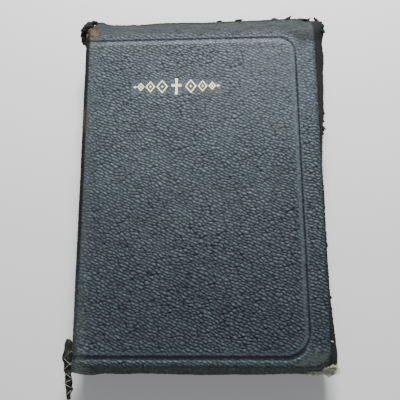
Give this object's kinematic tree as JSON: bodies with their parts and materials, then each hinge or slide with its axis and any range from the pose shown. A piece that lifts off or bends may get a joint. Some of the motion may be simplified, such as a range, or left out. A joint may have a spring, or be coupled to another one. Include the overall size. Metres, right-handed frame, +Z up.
{
  "type": "bible",
  "caption": "Closed limp leather bible lying flat, with drooping yapp edges, sewn sections, endbands and linings; its covers, halves and loose leaves turn at the spine.",
  "frame": {"origin": "middle of the closed book's plan, on the rear cover's outer face, which it lies on", "axes": "+X from the spine to the fore-edge, +Y from the tail to the head, +Z up, out of the front cover"},
  "size_m": [0.1501, 0.2177, 0.0302],
  "materials": {
    "cover_leather": "satin",
    "board_card": "matte",
    "lining_paper": "matte",
    "page_paper": "matte",
    "endpaper": "matte",
    "linen": "matte",
    "hinge_cloth": "matte",
    "spine_paper": "matte",
    "endband_silk": "satin",
    "worn_leather": "matte",
    "gilt": "satin"
  },
  "bodies": {
    "rear_cover": {"rear_cover_leather": "cover_leather", "rear_board": "board_card", "rear_cover_lining": "lining_paper"},
    "rear_half": {"section_13": "page_paper", "section_14": "page_paper", "section_15": "page_paper", "section_16": "page_paper", "section_17": "page_paper", "section_18": "page_paper", "section_19": "page_paper", "section_20": "page_paper", "section_21": "page_paper", "section_22": "page_paper", "section_23": "page_paper", "section_24": "page_paper", "spine_leather": "cover_leather", "spine_paper_lining": "spine_paper", "spine_mull": "linen", "sewing_tape_head": "linen", "sewing_tape_middle": "linen", "sewing_tape_tail": "linen", "kettle_stitch_head": "linen", "kettle_stitch_tail": "linen", "headband": "endband_silk", "tailband": "endband_silk", "torn_headcap": "worn_leather", "torn_tail_strip": "worn_leather", "rear_hinge_cloth": "hinge_cloth"},
    "front_half": {"section_01": "page_paper", "section_02": "page_paper", "section_03": "page_paper", "section_04": "page_paper", "section_05": "page_paper", "section_06": "page_paper", "section_07": "page_paper", "section_08": "page_paper", "section_09": "page_paper", "section_10": "page_paper", "section_11": "page_paper", "section_12": "page_paper", "front_hinge_cloth": "hinge_cloth"},
    "front_cover": {"front_cover_leather": "cover_leather", "front_board": "board_card", "front_cover_lining": "lining_paper", "gilt_ornament": "gilt"},
    "front_flyleaf": {"front_flyleaf": "endpaper"},
    "rear_flyleaf": {"rear_flyleaf": "endpaper"},
    "leaf_1": {"turning_leaf_1": "page_paper"},
    "leaf_2": {"turning_leaf_2": "page_paper"},
    "leaf_3": {"turning_leaf_3": "page_paper"}
  },
  "joints": [
    {"name": "rear_cover_hinge", "type": "hinge", "parent": "rear_half", "child": "rear_cover", "pos_m": [-0.071, 0, -0.0003], "axis": [0, -1, 0], "range_deg": [-179, 0], "deforming": ["rear_hinge_cloth"]},
    {"name": "book_opening", "type": "hinge", "parent": "rear_half", "child": "front_half", "pos_m": [-0.071, 0, 0.015], "axis": [0, -1, 0], "range_deg": [0, 179], "deforming": ["spine_leather", "spine_paper_lining", "spine_mull", "sewing_tape_head", "sewing_tape_middle", "sewing_tape_tail", "kettle_stitch_head", "kettle_stitch_tail", "headband", "tailband", "torn_headcap", "torn_tail_strip"]},
    {"name": "front_cover_hinge", "type": "hinge", "parent": "front_half", "child": "front_cover", "pos_m": [-0.071, 0, 0.0303], "axis": [0, -1, 0], "range_deg": [0, 179], "deforming": ["front_hinge_cloth"]},
    {"name": "front_flyleaf_turn", "type": "hinge", "parent": "front_half", "child": "front_flyleaf", "pos_m": [-0.071, 0, 0.0303], "axis": [0, -1, 0], "range_deg": [0, 179]},
    {"name": "rear_flyleaf_turn", "type": "hinge", "parent": "rear_half", "child": "rear_flyleaf", "pos_m": [-0.071, 0, -0.0003], "axis": [0, -1, 0], "range_deg": [-179, 0]},
    {"name": "leaf_1_turn", "type": "hinge", "parent": "rear_half", "child": "leaf_1", "pos_m": [-0.071, 0, 0.015], "axis": [0, -1, 0], "range_deg": [0, 179]},
    {"name": "leaf_2_turn", "type": "hinge", "parent": "rear_half", "child": "leaf_2", "pos_m": [-0.071, 0, 0.015], "axis": [0, -1, 0], "range_deg": [0, 179]},
    {"name": "leaf_3_turn", "type": "hinge", "parent": "rear_half", "child": "leaf_3", "pos_m": [-0.071, 0, 0.015], "axis": [0, -1, 0], "range_deg": [0, 179]}
  ],
  "couplings": [
    {"joint": "front_flyleaf_turn", "follows": "front_cover_hinge", "ratio": 0.94},
    {"joint": "rear_flyleaf_turn", "follows": "rear_cover_hinge", "ratio": 0.94},
    {"joint": "leaf_1_turn", "follows": "book_opening", "ratio": 0.25},
    {"joint": "leaf_2_turn", "follows": "book_opening", "ratio": 0.5},
    {"joint": "leaf_3_turn", "follows": "book_opening", "ratio": 0.75}
  ]
}
